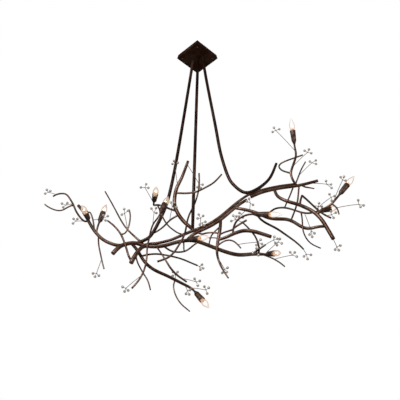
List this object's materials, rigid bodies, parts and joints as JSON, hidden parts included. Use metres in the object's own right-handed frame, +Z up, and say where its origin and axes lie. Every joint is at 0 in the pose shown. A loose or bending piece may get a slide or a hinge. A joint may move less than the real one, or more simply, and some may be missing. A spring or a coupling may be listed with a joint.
{
  "type": "chandelier",
  "caption": "Branch chandelier: a wide thicket of bent dark metal rods hung from a square ceiling pan by long rods, with flame bulbs in candle cups and wire sprigs of glass beads.",
  "frame": {"origin": "centre of the four ceiling anchors, in the plane where the strap and the pan's edge meet the ceiling", "axes": "+Z up to the ceiling, +X to the right of the pictured side, +Y away from the viewer"},
  "size_m": [1.815, 0.3329, 1.8823],
  "materials": {
    "pan_enamel": "very dark brown painted sheet, satin",
    "zinc_strap": "plated strap, dull",
    "screw_bronze": "dark brown domed heads",
    "rod_bronze": "dark bronze-brown paint on hammered rod",
    "limb_bronze": "dark bronze-brown paint, rubbed paler on top of bends",
    "twig_bronze": "dark bronze-brown paint on thin forged rod",
    "cup_bronze": "dark bronze-brown paint, mottled",
    "holder_porcelain": "off-white insulating lamp holder",
    "cap_brass": "thin rolled brass screw cap",
    "bulb_glass": "clear flame-shaped glass, lit warm",
    "sprig_wire": "bare greyish wire",
    "bead_glass": "clear glass ball with a grey tinge"
  },
  "bodies": {
    "frame": {"pan": "pan_enamel", "strap": "zinc_strap", "pan_screws": "screw_bronze", "lamp_holders": "holder_porcelain", "sprig_wires": "sprig_wire", "sprig_beads": "bead_glass", "rod_left": "rod_bronze", "rod_middle": "rod_bronze", "rod_right": "rod_bronze", "trunk": "limb_bronze", "trunk_upper": "limb_bronze", "limb_right_upper": "limb_bronze", "limb_right_lower": "limb_bronze", "limb_right_outer": "limb_bronze", "limb_left": "limb_bronze", "limb_rising": "limb_bronze", "limb_fork": "limb_bronze", "limb_dropping": "limb_bronze", "limb_low": "limb_bronze", "limb_outer": "limb_bronze", "limb_lower_left": "limb_bronze", "twigs_left": "twig_bronze", "twigs_stub": "twig_bronze", "twigs_rods": "twig_bronze", "twigs_under": "twig_bronze", "twigs_inner": "twig_bronze", "twigs_right": "twig_bronze", "cup_1": "cup_bronze", "cup_2": "cup_bronze", "cup_3": "cup_bronze", "cup_4": "cup_bronze", "cup_5": "cup_bronze", "cup_6": "cup_bronze", "cup_7": "cup_bronze", "cup_8": "cup_bronze", "cup_9": "cup_bronze", "cup_10": "cup_bronze", "cup_11": "cup_bronze"},
    "bulb_1": {"cap_1": "cap_brass", "glass_1": "bulb_glass"},
    "bulb_2": {"cap_2": "cap_brass", "glass_2": "bulb_glass"},
    "bulb_3": {"cap_3": "cap_brass", "glass_3": "bulb_glass"},
    "bulb_4": {"cap_4": "cap_brass", "glass_4": "bulb_glass"},
    "bulb_5": {"cap_5": "cap_brass", "glass_5": "bulb_glass"},
    "bulb_6": {"cap_6": "cap_brass", "glass_6": "bulb_glass"},
    "bulb_7": {"cap_7": "cap_brass", "glass_7": "bulb_glass"},
    "bulb_8": {"cap_8": "cap_brass", "glass_8": "bulb_glass"},
    "bulb_9": {"cap_9": "cap_brass", "glass_9": "bulb_glass"},
    "bulb_10": {"cap_10": "cap_brass", "glass_10": "bulb_glass"},
    "bulb_11": {"cap_11": "cap_brass", "glass_11": "bulb_glass"}
  },
  "joints": [
    {"name": "bulb_1_turn", "type": "hinge", "parent": "frame", "child": "bulb_1", "pos_m": [-0.60518, -0.11065, -1.36075], "axis": [-0.0796, -0.9956, -0.0503], "range_deg": [0, 1170]},
    {"name": "bulb_2_turn", "type": "hinge", "parent": "frame", "child": "bulb_2", "pos_m": [-0.54124, 0.05312, -1.25901], "axis": [0.1378, 0.2674, 0.9537], "range_deg": [0, 1170]},
    {"name": "bulb_3_turn", "type": "hinge", "parent": "frame", "child": "bulb_3", "pos_m": [-0.23055, -0.11003, -1.24082], "axis": [0.1549, -0.9877, -0.0227], "range_deg": [0, 1170]},
    {"name": "bulb_4_turn", "type": "hinge", "parent": "frame", "child": "bulb_4", "pos_m": [-0.18066, -0.06516, -1.2781], "axis": [0.2361, 0.3144, 0.9194], "range_deg": [0, 1170]},
    {"name": "bulb_5_turn", "type": "hinge", "parent": "frame", "child": "bulb_5", "pos_m": [0.00895, -0.07565, -1.50227], "axis": [0.7457, -0.6285, -0.2212], "range_deg": [0, 1170]},
    {"name": "bulb_6_turn", "type": "hinge", "parent": "frame", "child": "bulb_6", "pos_m": [0.38777, -0.0988, -1.36422], "axis": [0.9794, -0.1621, -0.1209], "range_deg": [0, 1170]},
    {"name": "bulb_7_turn", "type": "hinge", "parent": "frame", "child": "bulb_7", "pos_m": [0.5623, -0.15755, -0.82022], "axis": [-0.1079, -0.4373, 0.8928], "range_deg": [0, 1170]},
    {"name": "bulb_8_turn", "type": "hinge", "parent": "frame", "child": "bulb_8", "pos_m": [0.82699, -0.15684, -1.21071], "axis": [0.6213, -0.036, 0.7827], "range_deg": [0, 1170]},
    {"name": "bulb_9_turn", "type": "hinge", "parent": "frame", "child": "bulb_9", "pos_m": [0.7448, -0.02382, -1.27996], "axis": [0.7721, 0.4579, 0.4407], "range_deg": [0, 1170]},
    {"name": "bulb_10_turn", "type": "hinge", "parent": "frame", "child": "bulb_10", "pos_m": [0.40448, -0.08679, -1.59973], "axis": [0.3745, -0.8328, -0.4077], "range_deg": [0, 1170]},
    {"name": "bulb_11_turn", "type": "hinge", "parent": "frame", "child": "bulb_11", "pos_m": [0.02762, 0.01299, -1.81693], "axis": [0.4695, -0.4178, -0.7778], "range_deg": [0, 1170]}
  ]
}
